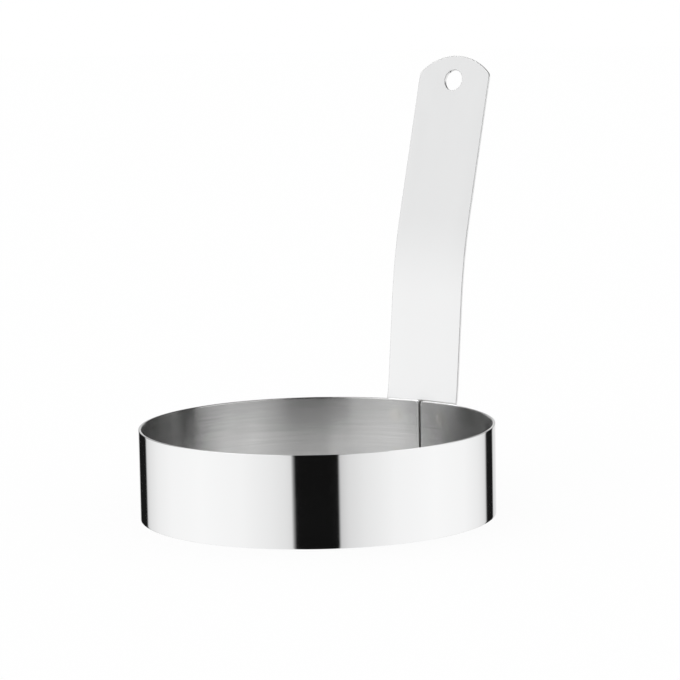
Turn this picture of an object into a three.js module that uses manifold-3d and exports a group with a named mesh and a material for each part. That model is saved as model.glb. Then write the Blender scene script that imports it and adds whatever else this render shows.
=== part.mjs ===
// Egg ring: a rolled stainless band with an upright strip handle spot-welded over the band's seam.
// Millimetres, +Z up. The ring stands on z = 0 and the handle rises on the +Y side, symmetric in X.

import * as THREE from 'three';
import { mergeVertices } from 'three/addons/utils/BufferGeometryUtils.js';
import Module from 'manifold-3d';

const wasm = await Module();
wasm.setup();

// Driving dimensions of the band
const BAND_OUTER_DIAMETER = 100;
const BAND_HEIGHT = 25.4;
const BAND_WALL = 0.8;
const SEAM_GAP = 0.5;
const SEAM_CORNER_RADIUS = 1.2;

// Driving dimensions of the handle strip, from its foot on the band to its tip
const STRIP_WIDTH = 24.8;
const STRIP_THICKNESS = 1;
const STRIP_CORNER_RADIUS = 2;
const FOOT_ABOVE_BASE = 3.4;
const RIM_BEND_LENGTH = 4;
const LOWER_LEAN_DEGREES = 5.8;
const LOWER_RUN = 30.1;
const MAIN_BEND_LENGTH = 24.5;
const UPPER_LEAN_DEGREES = 15.5;
const UPPER_RUN = 47.5;
const TIP_RISE = 5.3;
const HOLE_DIAMETER = 6.1;
const HOLE_BELOW_TIP = 7.3;

// The strip is rolled to the band up to the first level and flat from the second
const ROLLED_BELOW_RIM = 12;
const FLAT_ABOVE_RIM = 4.5;

// Driving dimensions of the spot welds: the nugget between the sheets and the electrode's mark on each face
const NUGGET_DIAMETER = 3;
const NUGGET_PENETRATION = 0.5;
const MARK_DIAMETER = 3.6;
const MARK_DEPTH = 0.1;
const WELD_FROM_STRIP_SIDE = 4.2;
const UPPER_WELD_BELOW_RIM = 4.7;
const LOWER_WELD_ABOVE_FOOT = 5;

// Clearance between the two sheets, and around each nugget in its pockets
const SHEET_GAP = 0.3;
const NUGGET_GAP = 0.15;

// Facets
const BAND_SEGMENTS = 96;
const STRIP_COLUMNS = 8;
const STRIP_ROWS = 40;
const HOLE_SEGMENTS = 48;
const WELD_SEGMENTS = 24;
const CORNER_SEGMENTS = 8;
const TIP_SEGMENTS = 12;

// How far a cutting tool runs past what it cuts
const CUT_MARGIN = 3;
const MERGE_DISTANCE = 1e-4;

// Sizes that follow from the driving dimensions
const bandOuterRadius = BAND_OUTER_DIAMETER / 2;
const bandInnerRadius = bandOuterRadius - BAND_WALL;
const stripHalfWidth = STRIP_WIDTH / 2;
const stripInnerRadius = bandOuterRadius + SHEET_GAP;
const holeRadius = HOLE_DIAMETER / 2;
const nuggetRadius = NUGGET_DIAMETER / 2;
const markRadius = MARK_DIAMETER / 2;
const rimAlong = BAND_HEIGHT - FOOT_ABOVE_BASE;
const lowerLean = THREE.MathUtils.degToRad(LOWER_LEAN_DEGREES);
const upperLean = THREE.MathUtils.degToRad(UPPER_LEAN_DEGREES);

// The strip's side profile as stretches walked from the foot: a length, and the angle turned through along it.
// The first bend ends at the rim.
const stretches = [
  { length: rimAlong - RIM_BEND_LENGTH, turn: 0 },
  { length: RIM_BEND_LENGTH, turn: lowerLean },
  { length: LOWER_RUN, turn: 0 },
  { length: MAIN_BEND_LENGTH, turn: upperLean - lowerLean },
  { length: UPPER_RUN, turn: 0 },
];
const stripLength = stretches.reduce((sum, stretch) => sum + stretch.length, 0);

const bandSteel = { color: 0xd6d7d6, metalness: 1, roughness: 0.12 };
const handleSteel = { color: 0xe0e1e1, metalness: 1, roughness: 0.18 };
const weldSteel = { color: 0xb9b7b2, metalness: 1, roughness: 0.45 };

// A closed geometry as a solid that can be joined and cut
function toSolid(geometry) {
  const bare = geometry.clone();
  bare.deleteAttribute('normal');
  bare.deleteAttribute('uv');
  const merged = mergeVertices(bare, MERGE_DISTANCE);
  return new wasm.Manifold(new wasm.Mesh({
    numProp: 3,
    vertProperties: Float32Array.from(merged.attributes.position.array),
    triVerts: Uint32Array.from(merged.index.array),
  }));
}

// A solid as a flat-shaded geometry
function toGeometry(solid) {
  const { vertProperties, triVerts } = solid.getMesh();
  const indexed = new THREE.BufferGeometry();
  indexed.setAttribute('position', new THREE.BufferAttribute(vertProperties, 3));
  indexed.setIndex(new THREE.BufferAttribute(triVerts, 1));
  const geometry = indexed.toNonIndexed();
  geometry.computeVertexNormals();
  return geometry;
}

// A named mesh with its own steel
function makePiece(name, geometry, steel) {
  const mesh = new THREE.Mesh(geometry, new THREE.MeshStandardMaterial(steel));
  mesh.name = name;
  return mesh;
}

// Where the strip's inner face runs at a length along it: distance out from the ring's axis, height and lean
function profileAt(along) {
  let out = stripInnerRadius;
  let height = FOOT_ABOVE_BASE;
  let lean = 0;
  let left = along;
  for (const { length, turn } of stretches) {
    const step = Math.min(left, length);
    const turned = turn * (step / length);
    const chord = turned === 0 ? step : 2 * (length / turn) * Math.sin(turned / 2);
    out += chord * Math.sin(lean + turned / 2);
    height += chord * Math.cos(lean + turned / 2);
    lean += turned;
    left -= step;
  }
  return { out, height, lean };
}

// How much the strip curves across its width: as the band at the foot, fading to flat above the rim
function curvatureAt(along) {
  const flatness = THREE.MathUtils.smoothstep(along, rimAlong - ROLLED_BELOW_RIM, rimAlong + FLAT_ABOVE_RIM);
  return (1 - flatness) / stripInnerRadius;
}

// A point of the bent strip from its flat blank: across the width, depth behind the inner face, along the length
function stripPoint(across, depth, along) {
  const { out, height, lean } = profileAt(along);
  const curvature = curvatureAt(along);
  let x = across;
  let rise = depth;
  if (curvature > 0) {
    const radius = 1 / curvature;
    x = (radius + depth) * Math.sin(across * curvature);
    rise = (radius + depth) * Math.cos(across * curvature) - radius;
  }
  return new THREE.Vector3(x, out + rise * Math.cos(lean), height - rise * Math.sin(lean));
}

// The waste outside a rounded corner of an upright sheet, ready to cut. The corner points right and up, turned by
// quarter turns; x, out and height place it on the +Y side, and swing carries it round the ring's axis.
function cornerWaste({ radius, thickness, beyond, quarterTurns, x, out, height, swing }) {
  const shape = new THREE.Shape();
  shape.moveTo(-radius, beyond);
  shape.absarc(-radius, -radius, radius, Math.PI / 2, 0, true);
  shape.lineTo(beyond, -radius);
  shape.lineTo(beyond, beyond);
  const depth = thickness + 2 * CUT_MARGIN;
  const waste = new THREE.ExtrudeGeometry(shape, { depth, bevelEnabled: false, curveSegments: CORNER_SEGMENTS / 2 });
  waste.translate(0, 0, -depth / 2);
  waste.rotateZ(quarterTurns * Math.PI / 2);
  waste.rotateX(Math.PI / 2);
  waste.translate(x, out, height);
  waste.rotateZ(-swing);
  return toSolid(waste);
}

// Each weld's place: its height, its angle round the ring from the seam, and how far out the strip's faces lie there
function placeWeld(name, side, along) {
  const across = side * (stripHalfWidth - WELD_FROM_STRIP_SIDE);
  const inner = stripPoint(across, 0, along);
  const outer = stripPoint(across, STRIP_THICKNESS, along);
  return {
    name,
    height: inner.z,
    swing: Math.atan2(inner.x, inner.y),
    stripInside: Math.hypot(inner.x, inner.y),
    stripOutside: Math.hypot(outer.x, outer.y),
  };
}

const upperWeldAlong = rimAlong - UPPER_WELD_BELOW_RIM;
const welds = [
  placeWeld('spot_weld_upper_left', -1, upperWeldAlong),
  placeWeld('spot_weld_upper_right', 1, upperWeldAlong),
  placeWeld('spot_weld_lower_left', -1, LOWER_WELD_ABOVE_FOOT),
  placeWeld('spot_weld_lower_right', 1, LOWER_WELD_ABOVE_FOOT),
];

// How deep a nugget's pockets go: from the facing sides of the two sheets, half way through each
const bandPocketFloor = bandOuterRadius - BAND_WALL * NUGGET_PENETRATION;
const stripPocketDepth = STRIP_THICKNESS * NUGGET_PENETRATION;

// A round cutter that points out from the ring's axis, from one distance to another, at a weld
function weldCutter({ swing, height }, radius, from, to) {
  const bar = new THREE.CylinderGeometry(radius, radius, to - from, WELD_SEGMENTS);
  bar.translate(0, (from + to) / 2, height);
  bar.rotateZ(-swing);
  return toSolid(bar);
}

// Band: an open ring whose two ends face each other across the seam, with rounded end corners
function makeBand() {
  const outerHalfGap = Math.asin(SEAM_GAP / 2 / bandOuterRadius);
  const innerHalfGap = Math.asin(SEAM_GAP / 2 / bandInnerRadius);
  const seam = Math.PI / 2;
  const turn = 2 * Math.PI;
  const section = new THREE.Shape();
  section.absarc(0, 0, bandOuterRadius, seam + outerHalfGap, seam + turn - outerHalfGap, false);
  section.absarc(0, 0, bandInnerRadius, seam + turn - innerHalfGap, seam + innerHalfGap, true);
  const blank = new THREE.ExtrudeGeometry(section, {
    depth: BAND_HEIGHT,
    bevelEnabled: false,
    curveSegments: BAND_SEGMENTS / 2,
  });
  const halfGap = SEAM_GAP / 2;
  const corners = [
    { quarterTurns: 0, x: -halfGap, height: BAND_HEIGHT },
    { quarterTurns: 1, x: halfGap, height: BAND_HEIGHT },
    { quarterTurns: 2, x: halfGap, height: 0 },
    { quarterTurns: 3, x: -halfGap, height: 0 },
  ];
  const common = {
    radius: SEAM_CORNER_RADIUS,
    thickness: BAND_WALL,
    beyond: halfGap,
    out: (bandOuterRadius + bandInnerRadius) / 2,
    swing: 0,
  };
  let solid = toSolid(blank);
  for (const corner of corners) {
    solid = solid.subtract(cornerWaste({ ...common, ...corner }));
  }
  for (const weld of welds) {
    const pocketTop = bandOuterRadius + CUT_MARGIN;
    const markBottom = bandInnerRadius - CUT_MARGIN;
    solid = solid.subtract(weldCutter(weld, nuggetRadius + NUGGET_GAP, bandPocketFloor, pocketTop));
    solid = solid.subtract(weldCutter(weld, markRadius, markBottom, bandInnerRadius + MARK_DEPTH));
  }
  return makePiece('ring_band', toGeometry(solid), bandSteel);
}

// The waste above the domed tip, drawn with the tip's top at the origin and the strip running down
function tipWaste() {
  const domeRadius = (stripHalfWidth ** 2 + TIP_RISE ** 2) / (2 * TIP_RISE);
  const shoulderX = stripHalfWidth - STRIP_CORNER_RADIUS;
  const shoulderUp = Math.sqrt((domeRadius - STRIP_CORNER_RADIUS) ** 2 - shoulderX ** 2);
  const shoulderY = shoulderUp - domeRadius;
  const meet = Math.atan2(shoulderUp, shoulderX);
  const outside = stripHalfWidth + CUT_MARGIN;
  const shape = new THREE.Shape();
  shape.moveTo(outside, shoulderY);
  shape.absarc(shoulderX, shoulderY, STRIP_CORNER_RADIUS, 0, meet, false);
  shape.absarc(0, -domeRadius, domeRadius, meet, Math.PI - meet, false);
  shape.absarc(-shoulderX, shoulderY, STRIP_CORNER_RADIUS, Math.PI - meet, Math.PI, false);
  shape.lineTo(-outside, shoulderY);
  shape.lineTo(-outside, CUT_MARGIN);
  shape.lineTo(outside, CUT_MARGIN);
  const depth = STRIP_THICKNESS + 2 * CUT_MARGIN;
  const waste = new THREE.ExtrudeGeometry(shape, { depth, bevelEnabled: false, curveSegments: TIP_SEGMENTS });
  waste.translate(0, 0, -depth / 2);
  return waste;
}

// The hang hole's cutter, drawn round the origin with its axis square to the strip
function holeCutter() {
  const hole = new THREE.CylinderGeometry(holeRadius, holeRadius, STRIP_THICKNESS + 2 * CUT_MARGIN, HOLE_SEGMENTS);
  hole.rotateX(Math.PI / 2);
  return hole;
}

// Lays a tool, drawn with X across the strip and Y along it, in the strip's mid-plane at a place along it
function layOnStrip(tool, along) {
  const { lean } = profileAt(along);
  const acrossAxis = new THREE.Vector3(1, 0, 0);
  const alongAxis = new THREE.Vector3(0, Math.sin(lean), Math.cos(lean));
  const inwardAxis = new THREE.Vector3().crossVectors(acrossAxis, alongAxis);
  const place = new THREE.Matrix4().makeBasis(acrossAxis, alongAxis, inwardAxis);
  place.setPosition(stripPoint(0, STRIP_THICKNESS / 2, along));
  tool.applyMatrix4(place);
  return toSolid(tool);
}

// Handle: a flat blank bent to its profile, with its tip, hang hole, foot corners and weld pockets then cut
function makeHandle() {
  const blank = new THREE.BoxGeometry(STRIP_WIDTH, STRIP_THICKNESS, stripLength, STRIP_COLUMNS, 1, STRIP_ROWS);
  blank.translate(0, STRIP_THICKNESS / 2, stripLength / 2);
  const points = blank.attributes.position;
  for (let i = 0; i < points.count; i += 1) {
    const bent = stripPoint(points.getX(i), points.getY(i), points.getZ(i));
    points.setXYZ(i, bent.x, bent.y, bent.z);
  }
  let solid = toSolid(blank);
  solid = solid.subtract(layOnStrip(tipWaste(), stripLength));
  solid = solid.subtract(layOnStrip(holeCutter(), stripLength - HOLE_BELOW_TIP));
  for (const [side, quarterTurns] of [[-1, 2], [1, 3]]) {
    const corner = stripPoint(side * stripHalfWidth, STRIP_THICKNESS / 2, 0);
    solid = solid.subtract(cornerWaste({
      radius: STRIP_CORNER_RADIUS,
      thickness: STRIP_THICKNESS,
      beyond: CUT_MARGIN,
      quarterTurns,
      x: 0,
      out: Math.hypot(corner.x, corner.y),
      height: corner.z,
      swing: Math.atan2(corner.x, corner.y),
    }));
  }
  for (const weld of welds) {
    const pocketFloor = weld.stripInside + stripPocketDepth;
    const markTop = weld.stripOutside + CUT_MARGIN;
    solid = solid.subtract(weldCutter(weld, nuggetRadius + NUGGET_GAP, bandOuterRadius, pocketFloor));
    solid = solid.subtract(weldCutter(weld, markRadius, weld.stripOutside - MARK_DEPTH, markTop));
  }
  return makePiece('handle', toGeometry(solid), handleSteel);
}

// Spot weld: a nugget that reaches from inside the band, across the gap, into the strip
function makeWeld({ name, swing, height, stripInside }) {
  const from = bandPocketFloor + NUGGET_GAP;
  const to = stripInside + stripPocketDepth - NUGGET_GAP;
  const geometry = new THREE.CylinderGeometry(nuggetRadius, nuggetRadius, to - from, WELD_SEGMENTS);
  const nugget = makePiece(name, geometry, weldSteel);
  nugget.position.set(0, (from + to) / 2, height);
  const spoke = new THREE.Group();
  spoke.rotation.z = -swing;
  spoke.add(nugget);
  return spoke;
}

// The ring's axis sits so that the whole object is centred on the origin from front to back
const reach = stripPoint(0, STRIP_THICKNESS, stripLength).y;
const eggRing = new THREE.Group();
eggRing.position.y = (bandOuterRadius - reach) / 2;
eggRing.add(makeBand(), makeHandle(), ...welds.map(makeWeld));

export default eggRing;
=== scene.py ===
"""Egg ring: a rolled stainless band with an upright strip handle spot-welded over the band's seam.

Both sheets are made as a maker would: a flat blank is cut out, its edges are rounded, the weld marks are
pressed in, and the blank is then rolled or bent to shape. Metres, +Z up, in the frame of the packed part.
"""

import math

import bmesh
import bpy
from mathutils import Matrix, Quaternion, Vector


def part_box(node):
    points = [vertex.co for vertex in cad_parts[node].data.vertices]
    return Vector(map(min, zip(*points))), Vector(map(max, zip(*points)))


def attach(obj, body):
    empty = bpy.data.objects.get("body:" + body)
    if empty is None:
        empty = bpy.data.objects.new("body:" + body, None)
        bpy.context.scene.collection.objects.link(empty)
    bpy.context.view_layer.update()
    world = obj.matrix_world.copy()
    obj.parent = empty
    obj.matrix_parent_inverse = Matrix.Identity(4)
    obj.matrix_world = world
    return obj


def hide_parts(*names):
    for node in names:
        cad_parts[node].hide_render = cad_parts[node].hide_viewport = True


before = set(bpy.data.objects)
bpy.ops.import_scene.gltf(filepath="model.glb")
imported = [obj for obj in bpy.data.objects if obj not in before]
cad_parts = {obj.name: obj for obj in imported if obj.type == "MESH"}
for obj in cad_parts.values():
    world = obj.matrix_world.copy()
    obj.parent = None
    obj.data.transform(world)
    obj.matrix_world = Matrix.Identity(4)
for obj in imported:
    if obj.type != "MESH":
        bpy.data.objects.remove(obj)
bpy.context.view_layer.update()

bl_info = {
    "name": "Egg Ring",
    "version": (1, 0, 0),
    "blender": (4, 5, 0),
    "location": "3D View > Sidebar > Egg Ring",
    "description": "Builds a polished egg ring with a strip handle, and a white studio to show it in",
    "category": "Add Mesh",
}

MM = 0.001
BODY = "root"

BAND_LOW, BAND_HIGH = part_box("ring_band")
HANDLE_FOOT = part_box("handle")[0].z
WELD_NODES = (
    "spot_weld_upper_left",
    "spot_weld_upper_right",
    "spot_weld_lower_left",
    "spot_weld_lower_right",
)

# The ring's axis stands at the middle of the band
AXIS = (BAND_LOW + BAND_HIGH) / 2

# Names of the blank's own map and of the values painted on its points
SHEET_MAP = "sheet"
HEAT = "weld_heat"
GAP_SHADE = "painted_gap_shade"

# Places of the materials in the band's list and in the strip's
MIRROR, SATIN, SHEARED = range(3)
POLISHED, DEBURRED, BROKEN = range(3)

# Fineness of the meshes
CUT_SNAP = 1e-7
COARSE_STEP = 1.0 * MM
FINE_STEP = 0.3 * MM
SUPPORT_WIDTH = 0.5 * MM
GAP_SHADE_RISE = 0.2 * MM
EDGE_SEGMENTS = 4
CORNER_SEGMENTS = 8
DOME_SEGMENTS = 32
HOLE_SEGMENTS = 64
WELD_SEGMENTS = 32
FLOOR_SEGMENTS = 128
ROUND_PROFILE = 0.5
SHARP_ANGLE = math.radians(60)

# Axes of the flat blank
X_AXIS, Y_AXIS = 0, 1

# How squarely a face of the flat plate has to look up or down to count as polished, as satin with its
# rounding or as the strip's rounded edge, and along the blank to count as the band's end
FACE_NORMAL = 0.99
SATIN_NORMAL = 0.5
SIDE_NORMAL = 0.1
END_NORMAL = 0.7

# Share of an electrode mark's radius that is pressed to the full depth
MARK_FLAT = 0.5

# Length of the plate round the hang hole, as a multiple of the hole's distance from the tip
TIP_PLATE = 3

# How much of the painted shade in the gap fades by the strip's right side, and how much there is to the
# left of the seam
GAP_SHADE_LOSS = 0.6
GAP_SHADE_TRACE = 0.15


def length_property(name, description, default):
    """A size that a user can change."""
    return bpy.props.FloatProperty(
        name=name,
        description=description,
        default=default,
        min=0,
        precision=5,
        subtype="DISTANCE",
        unit="LENGTH",
    )


def angle_property(name, description, degrees):
    """An angle that a user can change."""
    return bpy.props.FloatProperty(
        name=name,
        description=description,
        default=math.radians(degrees),
        subtype="ANGLE",
        unit="ROTATION",
    )


def share_property(name, description, default):
    """A share between none and all that a user can change."""
    return bpy.props.FloatProperty(
        name=name, description=description, default=default, min=0, max=1, subtype="FACTOR"
    )


def colour_property(name, description, default):
    """A colour that a user can change."""
    return bpy.props.FloatVectorProperty(
        name=name, description=description, default=default, size=3, min=0, max=1, subtype="COLOR"
    )


class BandSettings(bpy.types.PropertyGroup):
    """Sizes of the rolled band."""

    outer_diameter: length_property("Outer diameter", "Across the outside", BAND_HIGH.x - BAND_LOW.x)
    height: length_property("Height", "From the base to the rim", BAND_HIGH.z - BAND_LOW.z)
    wall: length_property("Wall", "Thickness of the band's sheet", 0.8 * MM)
    inner_edge: length_property("Inner edge radius", "Rounding of the edges on the inside", 0.3 * MM)
    outer_edge: length_property("Outer edge radius", "Rounding of the edges on the outside", 0.08 * MM)
    seam_gap: length_property("Seam gap", "Gap between the two ends of the band", 0.5 * MM)
    seam_corner: length_property("Seam corner radius", "Rounding of the corners at the seam", 1.2 * MM)


class HandleSettings(bpy.types.PropertyGroup):
    """Sizes of the strip handle, from its foot on the band to its tip."""

    width: length_property("Width", "Across the strip", 24.8 * MM)
    thickness: length_property("Thickness", "Thickness of the strip's sheet", 1 * MM)
    edge_radius: length_property("Edge radius", "Rounding of the strip's edges and of the hole", 0.18 * MM)
    eased_width: length_property("Eased width", "How far in from the sides the faces are eased", 6 * MM)
    eased_depth: length_property("Eased depth", "How far the faces fall back at the sides", 0.15 * MM)
    corner_radius: length_property("Corner radius", "Rounding at the foot and the tip's shoulders", 2 * MM)
    sheet_gap: length_property("Sheet gap", "Gap between the band and the strip", 0.3 * MM)
    foot_height: length_property("Foot height", "From the base to the strip's foot", HANDLE_FOOT)
    rim_bend: length_property("Rim bend", "Length of the bend that ends at the rim", 4 * MM)
    lower_lean: angle_property("Lower lean", "Lean of the strip between its two bends", 5.8)
    lower_run: length_property("Lower run", "Straight length between the two bends", 30.1 * MM)
    main_bend: length_property("Main bend", "Length of the bend half way up", 24.5 * MM)
    upper_lean: angle_property("Upper lean", "Lean of the strip above the main bend", 15.5)
    upper_run: length_property("Upper run", "Straight length from the main bend to the tip", 47.5 * MM)
    rolled_below: length_property("Rolled below rim", "Where flattening starts, below the rim", 12 * MM)
    flat_above: length_property("Flat above rim", "Where the strip is flat across, above the rim", 4.5 * MM)
    tip_rise: length_property("Tip rise", "Height of the domed tip", 5.3 * MM)
    hole_diameter: length_property("Hole diameter", "Across the hang hole", 6.1 * MM)
    hole_below_tip: length_property("Hole below tip", "From the tip to the hang hole's middle", 7.3 * MM)


class WeldSettings(bpy.types.PropertyGroup):
    """Sizes of the spot welds and of the marks that they leave."""

    nugget_diameter: length_property("Nugget diameter", "Across the fused metal between the sheets", 3 * MM)
    nugget_sink: length_property("Nugget sink", "How far a nugget reaches into each sheet", 0.1 * MM)
    collar: length_property("Collar", "How far a nugget flares where it meets a sheet", 0.15 * MM)
    mark_diameter: length_property("Mark diameter", "Across the electrode's mark on each face", 3.6 * MM)
    mark_depth: length_property("Mark depth", "Depth of the electrode's mark", 0.04 * MM)
    from_side: length_property("From the side", "From the strip's side to a weld's middle", 4.2 * MM)
    heat_reach: length_property("Heat reach", "How far the tint spreads from a weld's middle", 3.2 * MM)


class FinishSettings(bpy.types.PropertyGroup):
    """Colours and polish of the steel."""

    mirror: colour_property("Mirror polish", "Colour of the band's outside", (0.93, 0.932, 0.933))
    mirror_roughness: share_property("Mirror roughness", "Blur of the band's outside", 0.05)
    satin: colour_property("Satin", "Colour of the band's inside", (0.9, 0.9, 0.895))
    satin_roughness: share_property("Satin roughness", "Blur of the band's inside", 0.245)
    sheared: colour_property("Sheared edge", "Colour of the band's cut ends", (0.8, 0.8, 0.79))
    sheared_roughness: share_property("Sheared roughness", "Blur of the band's cut ends", 0.55)
    handle: colour_property("Handle polish", "Colour of the strip", (0.89, 0.892, 0.893))
    handle_roughness: share_property("Handle roughness", "Blur of the strip", 0.09)
    deburred: colour_property("Deburred side", "Colour of the strip's narrow sides", (0.85, 0.85, 0.845))
    deburred_roughness: share_property("Deburred roughness", "Blur of the strip's narrow sides", 0.2)
    broken: colour_property("Broken edge", "Colour of the rounding along the sides", (0.74, 0.74, 0.74))
    broken_roughness: share_property("Broken edge roughness", "Blur of the rounding along the sides", 0.6)
    # Painted shade on the strip where the band covers it
    gap_shade: colour_property("Gap shade", "Colour of the strip where the band covers it", (0.32, 0.315, 0.305))
    weld: colour_property("Weld metal", "Colour of the fused nuggets", (0.4, 0.38, 0.35))
    weld_roughness: share_property("Weld roughness", "Blur of the fused nuggets", 0.5)
    heat: colour_property("Heat tint", "Colour of the steel round a weld", (0.7, 0.685, 0.65))


class StageSettings(bpy.types.PropertyGroup):
    """The white studio and the camera."""

    floor_size: length_property("Floor size", "Across the round floor", 6.0)
    floor: colour_property("Floor colour", "Colour of the floor", (0.97, 0.97, 0.97))
    floor_glow: share_property("Floor glow", "Share that shows as plain white to the camera", 0.88)
    floor_shade: share_property("Floor shade", "Share of its colour that is left beside the band", 0.12)
    floor_gloss: share_property("Floor gloss", "Share that shines, as the steel shows it", 0.25)
    azimuth: angle_property("Camera azimuth", "Turn of the camera round the ring", 37.65)
    elevation: angle_property("Camera elevation", "Rise of the camera from the ring's middle", 10.183)
    distance: length_property("Camera distance", "From the ring's middle to the camera", 872 * MM)
    aim_right: length_property("Aim to the right", "From the ring's axis to the aim point", 6.93 * MM)
    aim_height: length_property("Aim height", "From the base up to the aim point", 49.15 * MM)
    roll: angle_property("Camera roll", "Turn of the camera about its line of sight", -1.046)
    lens: bpy.props.FloatProperty(
        name="Lens",
        description="Focal length",
        default=164.13,
        min=1,
        subtype="DISTANCE_CAMERA",
        unit="CAMERA",
    )


def fade(value, start, end):
    """Smooth step from 0 at start to 1 at end."""
    share = min(max((value - start) / (end - start), 0), 1)
    return share * share * (3 - 2 * share)


def spaced(low, high, step):
    """Evenly spaced places between two ends, both included, no more than a step apart."""
    count = max(1, math.ceil((high - low) / step))
    return [low + (high - low) * i / count for i in range(count + 1)]


def cut_places(low, high, spots, reach):
    """Places for cut lines between two ends: coarse, and fine within reach of each spot."""
    clear = reach + FINE_STEP
    between = spaced(low, high, COARSE_STEP)[1:-1]
    coarse = [place for place in between if all(abs(place - spot) > clear for spot in spots)]
    fine = [place for spot in spots for place in spaced(spot - reach, spot + reach, FINE_STEP)]
    return sorted(coarse + fine)


def outline_face(bm, edges, corners):
    """Fills a closed outline and rounds its corners, given as pairs of a vertex and an offset."""
    bmesh.ops.contextual_create(bm, geom=edges)
    for vert, offset in corners:
        bmesh.ops.bevel(
            bm,
            geom=[vert],
            offset=offset,
            offset_type="OFFSET",
            segments=CORNER_SEGMENTS,
            profile=ROUND_PROFILE,
            affect="VERTICES",
            material=-1,
        )


def add_support(bm):
    """Runs a loop of faces just inside the outline, so that the sheet stays flat up to its rounded edge."""
    bmesh.ops.inset_region(
        bm, faces=bm.faces[:], thickness=SUPPORT_WIDTH, depth=0, use_boundary=True, use_even_offset=True
    )


def cut_lines(bm, faces, axis, places):
    """Cuts faces of the blank along lines square to an axis, in rising order, each beyond the last."""
    normal = Vector()
    normal[axis] = 1
    ahead = list(faces)
    for place in places:
        edges = {edge for face in ahead for edge in face.edges}
        verts = {vert for face in ahead for vert in face.verts}
        cut = bmesh.ops.bisect_plane(
            bm, geom=[*verts, *edges, *ahead], dist=CUT_SNAP, plane_co=normal * place, plane_no=normal
        )
        found = [part for part in cut["geom"] if isinstance(part, bmesh.types.BMFace)]
        ahead = [face for face in found if face.calc_center_median()[axis] > place]


def give_thickness(bm, thickness, inner_edge, outer_edge):
    """Makes a plate of the blank and rounds the edges of its inner face, at Z = 0, and its outer face."""
    grown = bmesh.ops.extrude_face_region(bm, geom=bm.faces[:], use_keep_orig=True)
    raised = [part for part in grown["geom"] if isinstance(part, bmesh.types.BMVert)]
    bmesh.ops.translate(bm, verts=raised, vec=(0, 0, thickness))
    bmesh.ops.recalc_face_normals(bm, faces=bm.faces[:])
    for level, radius in ((0, inner_edge), (thickness, outer_edge)):
        sharp = [edge for edge in bm.edges if edge.calc_face_angle(0) > SHARP_ANGLE]
        at_level = [edge for edge in sharp if all(abs(vert.co.z - level) < CUT_SNAP for vert in edge.verts)]
        bmesh.ops.bevel(
            bm,
            geom=at_level,
            offset=radius,
            offset_type="OFFSET",
            segments=EDGE_SEGMENTS,
            profile=ROUND_PROFILE,
            affect="EDGES",
            material=-1,
        )


def press_marks(bm, spots, weld, level, push):
    """Presses the electrodes' marks into the plate's face at a level, and paints the heat round each."""
    heat = bm.verts.layers.float.new(HEAT)
    mark_radius = weld.mark_diameter / 2
    flat_radius = mark_radius * MARK_FLAT
    for vert in bm.verts:
        away = min((vert.co.xy - spot).length for spot in spots)
        vert[heat] = 1 - fade(away, flat_radius, weld.heat_reach)
        if abs(vert.co.z - level) < CUT_SNAP:
            vert.co.z += push * weld.mark_depth * (1 - fade(away, flat_radius, mark_radius))


def map_sheet(bm, length, height):
    """Gives the plate a map of its flat blank, so that grain follows the sheet after it is bent."""
    layer = bm.loops.layers.uv.new(SHEET_MAP)
    for face in bm.faces:
        for loop in face.loops:
            loop[layer].uv = (loop.vert.co.x / length + 0.5, loop.vert.co.y / height)


def finish_piece(bm, name, materials, node):
    """Turns a bmesh into a smooth shaded piece that stands for a CAD node."""
    bmesh.ops.recalc_face_normals(bm, faces=bm.faces[:])
    for face in bm.faces:
        face.smooth = True
    mesh = bpy.data.meshes.new(name)
    bm.to_mesh(mesh)
    bm.free()
    for material in materials:
        mesh.materials.append(material)
    piece = bpy.data.objects.new(name, mesh)
    bpy.context.scene.collection.objects.link(piece)
    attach(piece, BODY)
    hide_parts(node)
    return piece


def weld_place(node):
    """A weld's angle round the ring's axis from the seam, and its height, from its CAD node."""
    low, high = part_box(node)
    middle = (low + high) / 2 - AXIS
    return math.atan2(middle.x, middle.y), (low.z + high.z) / 2


def band_blank(band):
    """The band's flat blank: a long strip with rounded corners, lying along X, with its foot on Y = 0."""
    half = (math.pi * band.outer_diameter - band.seam_gap) / 2
    bm = bmesh.new()
    ends = [(-half, 0), (half, 0), (half, band.height), (-half, band.height)]
    corners = [bm.verts.new((x, y, 0)) for x, y in ends]
    edges = [bm.edges.new((corners[i - 1], corners[i])) for i in range(len(corners))]
    outline_face(bm, edges, [(vert, band.seam_corner) for vert in corners])
    return bm, half


def roll_band(bm, band):
    """Rolls the flat plate into a ring round the axis, with its ends meeting on the +Y side."""
    outer_radius = band.outer_diameter / 2
    for vert in bm.verts:
        angle = vert.co.x / outer_radius
        radius = outer_radius - band.wall + vert.co.z
        vert.co = (AXIS.x + radius * math.sin(angle), AXIS.y - radius * math.cos(angle), vert.co.y)


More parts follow.
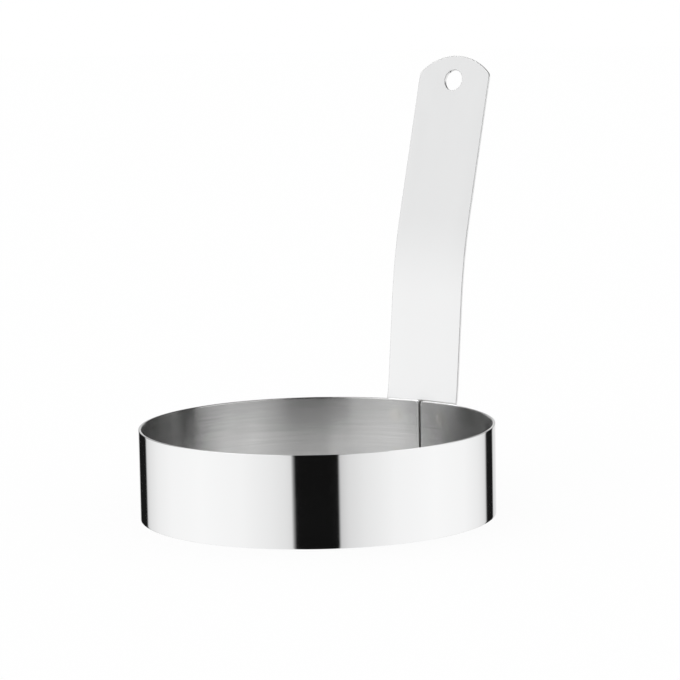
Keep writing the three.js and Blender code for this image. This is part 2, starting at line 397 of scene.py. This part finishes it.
def build_band(band, weld, finish):
    """The band: mirror polished outside, satin inside, with dull sheared ends at the seam."""
    bm, half = band_blank(band)
    add_support(bm)
    outer_radius = band.outer_diameter / 2
    places = [weld_place(node) for node in WELD_NODES]
    spots = [
        Vector((math.copysign(math.pi, swing) * outer_radius - swing * outer_radius, height))
        for swing, height in places
    ]
    reach = weld.mark_diameter / 2 + FINE_STEP
    cut_lines(bm, bm.faces, Y_AXIS, cut_places(0, band.height, sorted({spot.y for spot in spots}), reach))
    cut_lines(bm, bm.faces, X_AXIS, cut_places(-half, half, sorted({spot.x for spot in spots}), reach))
    give_thickness(bm, band.wall, band.inner_edge, band.outer_edge)
    for face in bm.faces:
        middle = face.calc_center_median()
        inside = face.normal.z < -SATIN_NORMAL
        at_end = abs(face.normal.x) > END_NORMAL and abs(middle.x) > half - band.inner_edge
        face.material_index = SATIN if inside else SHEARED if at_end else MIRROR
    press_marks(bm, spots, weld, level=0, push=1)
    map_sheet(bm, 2 * half, band.height)
    roll_band(bm, band)
    materials = [mirror_steel(band, finish), satin_steel(band, finish), sheared_steel(finish)]
    finish_piece(bm, "band", materials, "ring_band")


class StripShape:
    """The handle's side profile and its roll across the width, in metres from the ring's axis."""

    def __init__(self, handle, band):
        self.inner_radius = band.outer_diameter / 2 + handle.sheet_gap
        self.foot_height = handle.foot_height
        self.rim = band.height - handle.foot_height
        self.rolled_to = self.rim - handle.rolled_below
        self.flat_from = self.rim + handle.flat_above
        self.stretches = (
            (self.rim - handle.rim_bend, 0),
            (handle.rim_bend, handle.lower_lean),
            (handle.lower_run, 0),
            (handle.main_bend, handle.upper_lean - handle.lower_lean),
            (handle.upper_run, 0),
        )
        self.length = sum(length for length, turn in self.stretches)

    def profile(self, along):
        """Where the inner face runs at a length along the strip: distance out, height and lean."""
        out, height, lean, left = self.inner_radius, self.foot_height, 0, along
        last = len(self.stretches) - 1
        for i, (length, turn) in enumerate(self.stretches):
            step = left if i == last else min(left, length)
            turned = turn * step / length
            chord = step if turned == 0 else 2 * length / turn * math.sin(turned / 2)
            out += chord * math.sin(lean + turned / 2)
            height += chord * math.cos(lean + turned / 2)
            lean += turned
            left -= step
        return out, height, lean

    def point(self, across, along, depth):
        """A point of the bent strip from its flat blank."""
        out, height, lean = self.profile(along)
        curvature = (1 - fade(along, self.rolled_to, self.flat_from)) / self.inner_radius
        x, rise = across, depth
        if curvature > 0:
            radius = 1 / curvature
            x = (radius + depth) * math.sin(across * curvature)
            rise = (radius + depth) * math.cos(across * curvature) - radius
        return AXIS.x + x, AXIS.y + out + rise * math.cos(lean), height - rise * math.sin(lean)


def handle_blank(handle, length):
    """The handle's flat blank: a strip standing along Y, with its foot on Y = 0 and a domed tip."""
    half = handle.width / 2
    dome_radius = (half * half + handle.tip_rise ** 2) / (2 * handle.tip_rise)
    half_turn = math.asin(half / dome_radius)
    shoulder_turn = math.pi / 2 - half_turn
    shoulder_trim = handle.corner_radius * math.tan(shoulder_turn / 2)
    bm = bmesh.new()
    shoulder = bm.verts.new((half, length - handle.tip_rise, 0))
    dome = bmesh.ops.spin(
        bm,
        geom=[shoulder],
        cent=(0, length - dome_radius, 0),
        axis=(0, 0, 1),
        angle=2 * half_turn,
        steps=DOME_SEGMENTS,
    )
    far_shoulder = next(part for part in dome["geom_last"] if isinstance(part, bmesh.types.BMVert))
    feet = [bm.verts.new((x, 0, 0)) for x in (-half, half)]
    bm.edges.new((far_shoulder, feet[0]))
    bm.edges.new((feet[0], feet[1]))
    bm.edges.new((feet[1], shoulder))
    corners = [(vert, handle.corner_radius) for vert in feet]
    corners += [(vert, shoulder_trim) for vert in (shoulder, far_shoulder)]
    outline_face(bm, bm.edges[:], corners)
    return bm


def pierce_tip(bm, handle, length, plate_from):
    """Fills the tip's plate again round the hang hole, with a support loop round the hole."""
    middle = Vector((0, length - handle.hole_below_tip, 0))
    upper = [face for face in bm.faces if face.calc_center_median().y > plate_from]
    plate = max(upper, key=lambda face: len(face.verts))
    rim_edges = list(plate.edges)
    bmesh.ops.delete(bm, geom=[plate], context="FACES_ONLY")
    hole_radius = handle.hole_diameter / 2
    support_radius = hole_radius + SUPPORT_WIDTH
    circle = bmesh.ops.create_circle(bm, cap_ends=False, radius=support_radius, segments=HOLE_SEGMENTS)
    bmesh.ops.translate(bm, verts=circle["verts"], vec=middle)
    ring = list({edge for vert in circle["verts"] for edge in vert.link_edges})
    bmesh.ops.triangle_fill(bm, edges=rim_edges + ring, use_beauty=True, normal=(0, 0, 1))
    lip = bmesh.ops.extrude_edge_only(bm, edges=ring)
    lip_verts = [part for part in lip["geom"] if isinstance(part, bmesh.types.BMVert)]
    inwards = hole_radius / support_radius
    bmesh.ops.scale(bm, vec=(inwards, inwards, 1), space=Matrix.Translation(-middle), verts=lip_verts)


def ease_edges(bm, handle):
    """Lets both faces of the flat plate fall back towards its sides, as a polishing wheel leaves them."""
    start = handle.width / 2 - handle.eased_width
    for vert in bm.verts:
        share = max(abs(vert.co.x) - start, 0) / handle.eased_width
        inwards = math.copysign(1, handle.thickness / 2 - vert.co.z)
        vert.co.z += inwards * handle.eased_depth * share * share


def build_handle(handle, band, weld, finish):
    """The handle: a polished strip, rolled to the band at its foot and bent outwards to its domed tip."""
    shape = StripShape(handle, band)
    bm = handle_blank(handle, shape.length)
    add_support(bm)
    half = handle.width / 2
    heights = sorted({weld_place(node)[1] - handle.foot_height for node in WELD_NODES})
    sides = [-half + weld.from_side, half - weld.from_side]
    spots = [Vector((x, y)) for x in sides for y in heights]
    reach = weld.mark_diameter / 2 + FINE_STEP
    plate_from = shape.length - TIP_PLATE * handle.hole_below_tip
    levels = cut_places(0, plate_from, heights, reach) + [shape.rim, shape.rim + GAP_SHADE_RISE, plate_from]
    cut_lines(bm, bm.faces, Y_AXIS, sorted(levels))
    lower = [face for face in bm.faces if face.calc_center_median().y < plate_from]
    cut_lines(bm, lower, X_AXIS, cut_places(-half, half, sides, reach))
    pierce_tip(bm, handle, shape.length, plate_from)
    give_thickness(bm, handle.thickness, handle.edge_radius, handle.edge_radius)
    for face in bm.faces:
        level = abs(face.normal.z)
        rounded = BROKEN if level > SIDE_NORMAL else DEBURRED
        face.material_index = POLISHED if level > FACE_NORMAL else rounded
    # Smooth shading stops where polish meets the rounding, so that no bright line spreads over the faces
    for edge in bm.edges:
        edge.smooth = len({face.material_index for face in edge.link_faces}) == 1
    press_marks(bm, spots, weld, level=handle.thickness, push=-1)
    ease_edges(bm, handle)
    # Painted shade on the strip's inner face where the band covers it, darkest by the seam and fading
    # towards the strip's right side
    gap_shade = bm.verts.layers.float.new(GAP_SHADE)
    for vert in bm.verts:
        covered = vert.co.y < shape.rim + GAP_SHADE_RISE / 2 and vert.co.z < handle.thickness / 2
        shaded_side = vert.co.x > -band.seam_corner
        shade_amount = 1 - GAP_SHADE_LOSS * max(vert.co.x, 0) / half if shaded_side else GAP_SHADE_TRACE
        vert[gap_shade] = shade_amount if covered else 0
    map_sheet(bm, handle.width, shape.length)
    for vert in bm.verts:
        vert.co = shape.point(*vert.co.xy, vert.co.z)
    materials = [
        handle_steel(handle, finish),
        ground_steel("deburred_steel", finish.deburred, finish.deburred_roughness),
        ground_steel("broken_edge_steel", finish.broken, finish.broken_roughness),
    ]
    finish_piece(bm, "handle_strip", materials, "handle")


def build_weld(node, band, weld, material):
    """A weld's nugget: a short waisted plug of fused metal that fills the gap between the two sheets."""
    swing, height = weld_place(node)
    low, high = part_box(node)
    middle = ((low + high) / 2 - AXIS).xy.length
    inner = band.outer_diameter / 2 - weld.nugget_sink
    outer = 2 * middle - inner
    radius = weld.nugget_diameter / 2
    bm = bmesh.new()
    stations = (
        (0, inner),
        (radius + weld.collar, inner),
        (radius, (inner + outer) / 2),
        (radius + weld.collar, outer),
        (0, outer),
    )
    verts = [bm.verts.new((across, along, 0)) for across, along in stations]
    edges = [bm.edges.new(pair) for pair in zip(verts, verts[1:])]
    bmesh.ops.spin(
        bm,
        geom=verts + edges,
        cent=(0, 0, 0),
        axis=(0, 1, 0),
        angle=2 * math.pi,
        steps=WELD_SEGMENTS,
        use_merge=True,
    )
    bmesh.ops.remove_doubles(bm, verts=bm.verts[:], dist=CUT_SNAP)
    turn = Quaternion((0, 0, 1), -swing).to_matrix()
    bmesh.ops.rotate(bm, verts=bm.verts[:], cent=(0, 0, 0), matrix=turn)
    bmesh.ops.translate(bm, verts=bm.verts[:], vec=(AXIS.x, AXIS.y, height))
    finish_piece(bm, node.replace("spot_weld", "weld_nugget"), [material], node)


def add_node(tree, kind, inputs=None, **settings):
    """Adds a shader node with its settings, and links or sets its inputs by name or number."""
    node = tree.nodes.new("ShaderNode" + kind)
    for name, value in settings.items():
        setattr(node, name, value)
    for key, value in (inputs or {}).items():
        if isinstance(value, bpy.types.NodeSocket):
            tree.links.new(value, node.inputs[key])
        else:
            node.inputs[key].default_value = value
    return node


def maths(tree, operation, *values):
    """The result of one sum in a node tree."""
    return add_node(tree, "Math", dict(enumerate(values)), operation=operation).outputs[0]


def map_range(tree, value, from_low, from_high, to_low, to_high, kind="LINEAR"):
    """A value carried from one range to another, and held at its ends."""
    ends = {"From Min": from_low, "From Max": from_high, "To Min": to_low, "To Max": to_high}
    return add_node(tree, "MapRange", {"Value": value, **ends}, interpolation_type=kind).outputs["Result"]


def tint(tree, factor, first, second):
    """A colour between two, by a factor."""
    node = add_node(tree, "Mix", {"Factor": factor}, data_type="RGBA")
    for name, value in (("A", first), ("B", second)):
        socket = next(s for s in node.inputs if s.name == name and s.type == "RGBA")
        if isinstance(value, bpy.types.NodeSocket):
            tree.links.new(value, socket)
        else:
            socket.default_value = (*value, 1)
    return next(s for s in node.outputs if s.type == "RGBA")


def ramp(tree, factor, stops):
    """A grey that follows a list of places and values."""
    node = add_node(tree, "ValToRGB", {"Fac": factor})
    elements = node.color_ramp.elements
    while len(elements) < len(stops):
        elements.new(1)
    for element, (place, value) in zip(elements, stops):
        element.position = place
        element.color = (value, value, value, 1)
    return node.outputs["Color"]


# Sizes on the flat blank, along X and along Y, of the streaks and clouds in each finish
MIRROR_HAIRLINE = (12 * MM, 0.15 * MM)
MIRROR_CLOUD = (18 * MM, 9 * MM)
SATIN_STREAK = (30 * MM, 0.5 * MM)
SATIN_CLOUD = (14 * MM, 7 * MM)
HANDLE_HAIRLINE = (0.16 * MM, 30 * MM)
HANDLE_CLOUD = (7 * MM, 16 * MM)

# How often the marks on cut metal repeat over the whole blank, along X and along Y
SHEARED_TEARS = (4000, 160)
GROUND_SCRATCHES = (160, 900)

# How often the mottle on a weld repeats over a metre
WELD_MOTTLE = 3000

# How much finer grain breaks up the coarser grain
GRAIN_ROUGHNESS = 0.6

# Depth of each finish's relief, and its strength
MIRROR_RELIEF = (0.0004 * MM, 0.5)
SATIN_RELIEF = (0.0015 * MM, 0.4)
SHEARED_RELIEF = (0.02 * MM, 0.6)
HANDLE_RELIEF = (0.0006 * MM, 0.5)
GROUND_RELIEF = (0.004 * MM, 0.5)
WELD_RELIEF = (0.03 * MM, 0.6)

# Strength of the heat tint on each finish
MIRROR_HEAT = 0.6
SATIN_HEAT = 0.5
HANDLE_HEAT = 0.6

# Brightness of the darkest grain in each finish, as a share of its colour
# For the satin this darkest colour is also where the painted shade at the rim leans
SATIN_DARK = 0.55
SHEARED_DARK = 0.6
GROUND_DARK = 0.9
WELD_DARK = 0.55

# Least and greatest roughness of each polish, as shares of its setting, and the noise sums that give them
MIRROR_SPREAD = (0.8, 1.3)
HANDLE_SPREAD = (0.8, 1.25)
NOISE_SUM = (0.7, 1.3)

# How much the strip is roughened where the painted gap shade lies
GAP_ROUGHNESS = 0.4

# Satin by share of the height: painted shade darkens it from the rim down to the first share below, with
# the lightness left at the rim and below it; roughness falls to SMOOTH_FROM
SHADE_DOWN_TO = 0.55
RIM_SHADE_LEVELS = (0.17, 0.86)
SMOOTH_FROM = 0.5
SATIN_SPREAD = (1.08, 0.82)

# Satin by noise: the parts of streaks and clouds, the wear that they leave, and the streaks' roughness
STREAK_SHARE = 0.7
CLOUD_SHARE = 0.3
WEAR_NOISE = (0.35, 0.65)
WEAR_LEFT = (0.7, 1)
STREAK_NOISE = (0.3, 0.7)
STREAK_SPREAD = (0.97, 1.03)


def new_steel(name):
    """A metal material with its shader and its tree."""
    material = bpy.data.materials.new(name)
    material.use_nodes = True
    tree = material.node_tree
    shader = tree.nodes["Principled BSDF"]
    shader.inputs["Metallic"].default_value = 1
    return material, tree, shader


def grain(tree, scale, detail=4):
    """Streaky noise on the flat blank's own map, scaled along X and along Y."""
    place = add_node(tree, "UVMap", uv_map=SHEET_MAP).outputs["UV"]
    stretched = add_node(tree, "Mapping", {"Vector": place, "Scale": (*scale, 1)}).outputs["Vector"]
    inputs = {"Vector": stretched, "Scale": 1, "Detail": detail, "Roughness": GRAIN_ROUGHNESS}
    return add_node(tree, "TexNoise", inputs, noise_dimensions="2D").outputs["Fac"]


def repeats(sheet, size):
    """How often marks of a size repeat over a blank, along X and along Y."""
    return sheet[0] / size[0], sheet[1] / size[1]


def painted(tree, name):
    """A value painted on the piece's points."""
    return add_node(tree, "Attribute", attribute_name=name).outputs["Fac"]


def bump(tree, height, distance, strength):
    """A fine relief."""
    inputs = {"Height": height, "Distance": distance, "Strength": strength}
    return add_node(tree, "Bump", inputs).outputs["Normal"]


def darkened(colour, share):
    """A colour at a share of its brightness."""
    return [channel * share for channel in colour]


def polish(tree, hairlines, cloud, roughness, spread):
    """Roughness that wanders with two noises."""
    low, high = (roughness * share for share in spread)
    return map_range(tree, maths(tree, "ADD", hairlines, cloud), *NOISE_SUM, low, high)


def heated(tree, colour, strength, finish):
    """A colour with the heat tint round each weld."""
    heat = map_range(tree, painted(tree, HEAT), 0, 1, 0, strength)
    return tint(tree, heat, colour, finish.heat)


def mirror_steel(band, finish):
    """Mirror polish with a trace of hairlines left by the buffing wheel."""
    material, tree, shader = new_steel("mirror_steel")
    sheet = (math.pi * band.outer_diameter, band.height)
    hairlines = grain(tree, repeats(sheet, MIRROR_HAIRLINE))
    cloud = grain(tree, repeats(sheet, MIRROR_CLOUD), detail=2)
    roughness = polish(tree, hairlines, cloud, finish.mirror_roughness, MIRROR_SPREAD)
    tree.links.new(roughness, shader.inputs["Roughness"])
    tree.links.new(heated(tree, finish.mirror, MIRROR_HEAT, finish), shader.inputs["Base Color"])
    tree.links.new(bump(tree, hairlines, *MIRROR_RELIEF), shader.inputs["Normal"])
    return material


def satin_steel(band, finish):
    """Satin finish with grain that runs round the band, with painted shade that darkens it towards the rim,
    and smoother towards the base.
    """
    material, tree, shader = new_steel("satin_steel")
    sheet = (math.pi * band.outer_diameter, band.height)
    streaks = grain(tree, repeats(sheet, SATIN_STREAK), detail=6)
    cloud = grain(tree, repeats(sheet, SATIN_CLOUD), detail=3)
    streak_part = maths(tree, "MULTIPLY", streaks, STREAK_SHARE)
    cloud_part = maths(tree, "MULTIPLY", cloud, CLOUD_SHARE)
    shade = maths(tree, "ADD", streak_part, cloud_part)
    place = add_node(tree, "UVMap", uv_map=SHEET_MAP).outputs["UV"]
    height = add_node(tree, "SeparateXYZ", {"Vector": place}).outputs["Y"]
    # Painted shade: the satin is darker towards the rim and lighter towards the base, mixed with the
    # grain's random patches
    rim_shade = map_range(tree, height, 1, SHADE_DOWN_TO, *RIM_SHADE_LEVELS)
    patchy = map_range(tree, shade, *WEAR_NOISE, *WEAR_LEFT)
    shade_and_grain = maths(tree, "MULTIPLY", rim_shade, patchy)
    grained = tint(tree, shade_and_grain, darkened(finish.satin, SATIN_DARK), finish.satin)
    tree.links.new(heated(tree, grained, SATIN_HEAT, finish), shader.inputs["Base Color"])
    rough, smooth = (finish.satin_roughness * share for share in SATIN_SPREAD)
    coarse = map_range(tree, height, 1, SMOOTH_FROM, rough, smooth)
    uneven = map_range(tree, streaks, *STREAK_NOISE, *STREAK_SPREAD)
    tree.links.new(maths(tree, "MULTIPLY", coarse, uneven), shader.inputs["Roughness"])
    shader.inputs["Anisotropic"].default_value = 1
    shader.inputs["Anisotropic Rotation"].default_value = 0.25
    tangent = add_node(tree, "Tangent", direction_type="UV_MAP", uv_map=SHEET_MAP)
    tree.links.new(tangent.outputs["Tangent"], shader.inputs["Tangent"])
    tree.links.new(bump(tree, streaks, *SATIN_RELIEF), shader.inputs["Normal"])
    return material


def rough_finish(tree, shader, pattern, colours, roughness, relief):
    """Mottles unpolished metal between two colours by a noise, which also gives its relief."""
    tree.links.new(tint(tree, pattern, *colours), shader.inputs["Base Color"])
    shader.inputs["Roughness"].default_value = roughness
    tree.links.new(bump(tree, pattern, *relief), shader.inputs["Normal"])


def sheared_steel(finish):
    """The dull, dark metal of a sheared end."""
    material, tree, shader = new_steel("sheared_steel")
    tears = grain(tree, SHEARED_TEARS, detail=5)
    colours = darkened(finish.sheared, SHEARED_DARK), finish.sheared
    rough_finish(tree, shader, tears, colours, finish.sheared_roughness, SHEARED_RELIEF)
    return material


def handle_steel(handle, finish):
    """Bright polish with faint grain that runs up the strip, with painted shade where the band covers it,
    which is dulled there too.
    """
    material, tree, shader = new_steel("handle_steel")
    sheet = (handle.width, handle.lower_run + handle.main_bend + handle.upper_run)
    hairlines = grain(tree, repeats(sheet, HANDLE_HAIRLINE))
    cloud = grain(tree, repeats(sheet, HANDLE_CLOUD), detail=2)
    clean = polish(tree, hairlines, cloud, finish.handle_roughness, HANDLE_SPREAD)
    # Painted shade in the gap behind the band, which also roughens the strip there
    gap_shade = painted(tree, GAP_SHADE)
    dulled = maths(tree, "MULTIPLY", gap_shade, GAP_ROUGHNESS)
    tree.links.new(maths(tree, "ADD", clean, dulled), shader.inputs["Roughness"])
    bright = heated(tree, finish.handle, HANDLE_HEAT, finish)
    tree.links.new(tint(tree, gap_shade, bright, finish.gap_shade), shader.inputs["Base Color"])
    tree.links.new(bump(tree, hairlines, *HANDLE_RELIEF), shader.inputs["Normal"])
    return material


def ground_steel(name, colour, roughness):
    """The ground metal of the strip's narrow sides and of the rounding beside them."""
    material, tree, shader = new_steel(name)
    scratches = grain(tree, GROUND_SCRATCHES, detail=5)
    colours = darkened(colour, GROUND_DARK), colour
    rough_finish(tree, shader, scratches, colours, roughness, GROUND_RELIEF)
    return material


def weld_steel(finish):
    """The grainy, heat-darkened metal of a weld."""
    material, tree, shader = new_steel("weld_steel")
    place = add_node(tree, "TexCoord").outputs["Object"]
    inputs = {"Vector": place, "Scale": WELD_MOTTLE, "Detail": 4}
    mottle = add_node(tree, "TexNoise", inputs).outputs["Fac"]
    colours = darkened(finish.weld, WELD_DARK), finish.weld
    rough_finish(tree, shader, mottle, colours, finish.weld_roughness, WELD_RELIEF)
    return material


# What the steel sees round it, as degrees to the camera's left (negative) or right and brightness: a dark
# slot that the camera looks through, white panels beside it, dark gaps behind them and the white backdrop
LOW_STUDIO = (
    (-180, 0.95),
    (-168, 0.7),
    (-166, 0.01),
    (-145, 0.01),
    (-143, 0.68),
    (-137, 0.79),
    (-125, 0.9),
    (-108, 0.97),
    (-80, 1),
    (-50, 0.96),
    (-30, 0.87),
    (-20, 0.8),
    (-16, 0.72),
    (-15.2, 0.006),
    (12.8, 0.006),
    (13.6, 0.6),
    (19, 0.74),
    (30, 0.84),
    (50, 0.95),
    (80, 1),
    (108, 0.97),
    (125, 0.88),
    (133, 0.79),
    (137, 0.68),
    (139.5, 0.01),
    (153.5, 0.01),
    (156, 0.7),
    (180, 0.95),
)

# The same, higher up: the slot is wider, and the panels end sooner, with a dark room behind them
HIGH_STUDIO = (
    (-180, 0.02),
    (-116, 0.02),
    (-100, 1.1),
    (-90, 1.45),
    (-85, 0.92),
    (-79, 0.86),
    (-74, 0.88),
    (-66, 0.83),
    (-61, 1.45),
    (-54, 1.5),
    (-45, 1.3),
    (-36, 1.05),
    (-24, 0.95),
    (-20, 0.005),
    (19, 0.005),
    (27, 0.55),
    (42, 1),
    (60, 1.3),
    (86, 1.5),
    (95, 0.85),
    (104, 0.8),
    (115, 0.3),
    (150, 0.02),
)

# The same, overhead: the panel on the left leans in over the object
TOP_STUDIO = (
    (-180, 0.02),
    (-120, 0.02),
    (-104, 2.1),
    (-80, 2.8),
    (-60, 2),
    (-40, 1.55),
    (-24, 0.8),
    (-18, 0.005),
    (18, 0.005),
    (30, 0.6),
    (60, 1.2),
    (86, 1.5),
    (100, 0.6),
    (120, 0.02),
)

# How high the low part reaches, in the same degrees and in degrees of height: it is tall in two stretches
# beside the object and at the backdrop, and lower between them
PANEL_TOPS = (
    (-180, 24),
    (-168, 24),
    (-164, 3),
    (-112, 3),
    (-100, 12),
    (-85, 12),
    (-80, 24),
    (-67, 24),
    (-62, 10),
    (-26, 10),
    (-21, 4),
    (21, 4),
    (28, 10),
    (90, 10),
    (96, 24),
    (106, 24),
    (116, 3),
    (150, 3),
    (156, 24),
    (180, 24),
)

# Degrees of height between which the overhead part takes over
TOP_FROM = 23
TOP_FULL = 33


def sine(degrees):
    """The height of a direction above the horizon, as a share of its length."""
    return math.sin(math.radians(degrees))


def all_round(tree, place, ring):
    """A grey that follows a list of degrees and values round the object."""
    return ramp(tree, place, [(0.5 + degrees / 360, value) for degrees, value in ring])


def studio_world(stage):
    """White to the camera and to the floor, and a studio of white panels and dark gaps to the steel."""
    world = bpy.data.worlds.new("white_studio")
    world.use_nodes = True
    world.cycles.sampling_method = "NONE"
    tree = world.node_tree
    background = tree.nodes["Background"]
    direction = add_node(tree, "TexCoord").outputs["Generated"]
    facing = {"Vector": direction, "Rotation": (0, 0, -stage.azimuth)}
    turned = add_node(tree, "Mapping", facing).outputs["Vector"]
    x, y, z = add_node(tree, "SeparateXYZ", {"Vector": turned}).outputs
    turn = maths(tree, "ARCTAN2", x, maths(tree, "MULTIPLY", y, -1))
    place = map_range(tree, turn, -math.pi, math.pi, 0, 1)
    low, high, top = (all_round(tree, place, ring) for ring in (LOW_STUDIO, HIGH_STUDIO, TOP_STUDIO))
    low_ends = all_round(tree, place, [(degrees, sine(rise)) for degrees, rise in PANEL_TOPS])
    lifted = map_range(tree, z, 0, low_ends, 0, 1, "SMOOTHSTEP")
    overhead = map_range(tree, z, sine(TOP_FROM), sine(TOP_FULL), 0, 1, "SMOOTHSTEP")
    panels = tint(tree, overhead, tint(tree, lifted, low, high), top)
    glossy = add_node(tree, "LightPath").outputs["Is Glossy Ray"]
    tree.links.new(tint(tree, glossy, (1, 1, 1), panels), background.inputs["Color"])
    bpy.context.scene.world = world


# How far out the floor inside the ring starts to darken and is darkest, as shares of the inner radius
SHADE_FROM = 0.68
SHADE_FULL = 0.85

# How far the floor and the part of it inside the ring lie below the base
FLOOR_DROP = 0.1 * MM
INSIDE_DROP = 0.05 * MM

# Blur of the floor's shine
FLOOR_ROUGHNESS = 0.3


def floor_material(stage, band):
    """Pale floor that shows as white to the camera and still keeps the object's shadow."""
    material = bpy.data.materials.new("pale_floor")
    material.use_nodes = True
    tree = material.node_tree
    shader = tree.nodes["Principled BSDF"]
    place = add_node(tree, "TexCoord").outputs["Object"]
    ends = {0: place, 1: (AXIS.x, AXIS.y, 0)}
    away = add_node(tree, "VectorMath", ends, operation="DISTANCE").outputs["Value"]
    inner = band.outer_diameter / 2 - band.wall
    path = add_node(tree, "LightPath").outputs
    by_wall = map_range(tree, away, inner * SHADE_FROM, inner * SHADE_FULL, 0, 1, "SMOOTHSTEP")
    shade = maths(tree, "MULTIPLY", by_wall, path["Is Glossy Ray"])
    shaded = darkened(stage.floor, stage.floor_shade)
    tree.links.new(tint(tree, shade, stage.floor, shaded), shader.inputs["Base Color"])
    shader.inputs["Roughness"].default_value = FLOOR_ROUGHNESS
    shader.inputs["Specular IOR Level"].default_value = 0
    shine = maths(tree, "MULTIPLY", path["Is Glossy Ray"], stage.floor_gloss)
    tree.links.new(shine, shader.inputs["Metallic"])
    glow = maths(tree, "MULTIPLY", path["Is Camera Ray"], stage.floor_glow)
    white = add_node(tree, "Emission", {"Color": (1, 1, 1, 1), "Strength": 1}).outputs["Emission"]
    mixed = add_node(tree, "MixShader", {0: glow, 1: shader.outputs["BSDF"], 2: white}).outputs["Shader"]
    tree.links.new(mixed, tree.nodes["Material Output"].inputs["Surface"])
    return material


def build_floor(stage, band):
    """A round floor, and the part of it inside the ring, which alone shows in the steel."""
    material = floor_material(stage, band)
    inner = band.outer_diameter / 2 - band.wall
    for name, radius, depth in (
        ("floor", stage.floor_size / 2, FLOOR_DROP),
        ("floor_inside", inner, INSIDE_DROP),
    ):
        bm = bmesh.new()
        bmesh.ops.create_circle(bm, cap_ends=True, radius=radius, segments=FLOOR_SEGMENTS)
        bmesh.ops.translate(bm, verts=bm.verts[:], vec=(AXIS.x, AXIS.y, -depth))
        mesh = bpy.data.meshes.new(name)
        bm.to_mesh(mesh)
        bm.free()
        mesh.materials.append(material)
        piece = bpy.data.objects.new(name, mesh)
        bpy.context.scene.collection.objects.link(piece)
        piece.visible_glossy = name == "floor_inside"


def build_camera(stage):
    """The camera where the photograph was taken from."""
    turn, rise = stage.azimuth, stage.elevation
    outward = Vector((math.sin(turn) * math.cos(rise), -math.cos(turn) * math.cos(rise), math.sin(rise)))
    right = Vector((math.cos(turn), math.sin(turn), 0))
    data = bpy.data.cameras.new("camera")
    data.lens = stage.lens
    camera = bpy.data.objects.new("camera", data)
    camera.location = AXIS + outward * stage.distance
    aim = Vector((AXIS.x, AXIS.y, stage.aim_height)) + right * stage.aim_right
    camera.rotation_mode = "QUATERNION"
    facing = (aim - camera.location).to_track_quat("-Z", "Y")
    camera.rotation_quaternion = facing @ Quaternion((0, 0, 1), stage.roll)
    bpy.context.scene.collection.objects.link(camera)
    bpy.context.scene.camera = camera


class EGGRING_OT_band(bpy.types.Operator):
    """Build the rolled band"""

    bl_idname = "egg_ring.band"
    bl_label = "Build Band"

    def execute(self, context):
        scene = context.scene
        build_band(scene.egg_ring_band, scene.egg_ring_weld, scene.egg_ring_finish)
        return {"FINISHED"}


class EGGRING_OT_handle(bpy.types.Operator):
    """Build the strip handle"""

    bl_idname = "egg_ring.handle"
    bl_label = "Build Handle"

    def execute(self, context):
        scene = context.scene
        build_handle(scene.egg_ring_handle, scene.egg_ring_band, scene.egg_ring_weld, scene.egg_ring_finish)
        return {"FINISHED"}


class EGGRING_OT_welds(bpy.types.Operator):
    """Build the four spot welds"""

    bl_idname = "egg_ring.welds"
    bl_label = "Build Welds"

    def execute(self, context):
        scene = context.scene
        material = weld_steel(scene.egg_ring_finish)
        for node in WELD_NODES:
            build_weld(node, scene.egg_ring_band, scene.egg_ring_weld, material)
        return {"FINISHED"}


class EGGRING_OT_stage(bpy.types.Operator):
    """Build the floor, the white studio and the camera"""

    bl_idname = "egg_ring.stage"
    bl_label = "Build Stage"

    def execute(self, context):
        scene = context.scene
        scene.view_settings.view_transform = "Standard"
        studio_world(scene.egg_ring_stage)
        build_floor(scene.egg_ring_stage, scene.egg_ring_band)
        build_camera(scene.egg_ring_stage)
        return {"FINISHED"}


SETTINGS = {
    "egg_ring_band": BandSettings,
    "egg_ring_handle": HandleSettings,
    "egg_ring_weld": WeldSettings,
    "egg_ring_finish": FinishSettings,
    "egg_ring_stage": StageSettings,
}
OPERATORS = (EGGRING_OT_band, EGGRING_OT_handle, EGGRING_OT_welds, EGGRING_OT_stage)


class EGGRING_PT_build(bpy.types.Panel):
    """Lists the egg ring's settings and the steps that build it"""

    bl_label = "Egg Ring"
    bl_space_type = "VIEW_3D"
    bl_region_type = "UI"
    bl_category = "Egg Ring"

    def draw(self, context):
        for operator in OPERATORS:
            self.layout.operator(operator.bl_idname)
        for name, group in SETTINGS.items():
            box = self.layout.box()
            box.label(text=group.__doc__)
            settings = getattr(context.scene, name)
            for key in group.__annotations__:
                box.prop(settings, key)


CLASSES = (*SETTINGS.values(), *OPERATORS, EGGRING_PT_build)


def register():
    """Adds the settings, the operators and the panel to Blender."""
    for cls in CLASSES:
        bpy.utils.register_class(cls)
    for name, group in SETTINGS.items():
        setattr(bpy.types.Scene, name, bpy.props.PointerProperty(type=group))


def unregister():
    """Takes them out again."""
    for name in SETTINGS:
        delattr(bpy.types.Scene, name)
    for cls in reversed(CLASSES):
        bpy.utils.unregister_class(cls)


def main():
    """Builds the stage and every piece."""
    register()
    bpy.ops.egg_ring.stage()
    bpy.ops.egg_ring.band()
    bpy.ops.egg_ring.handle()
    bpy.ops.egg_ring.welds()


if __name__ == "__main__":
    main()
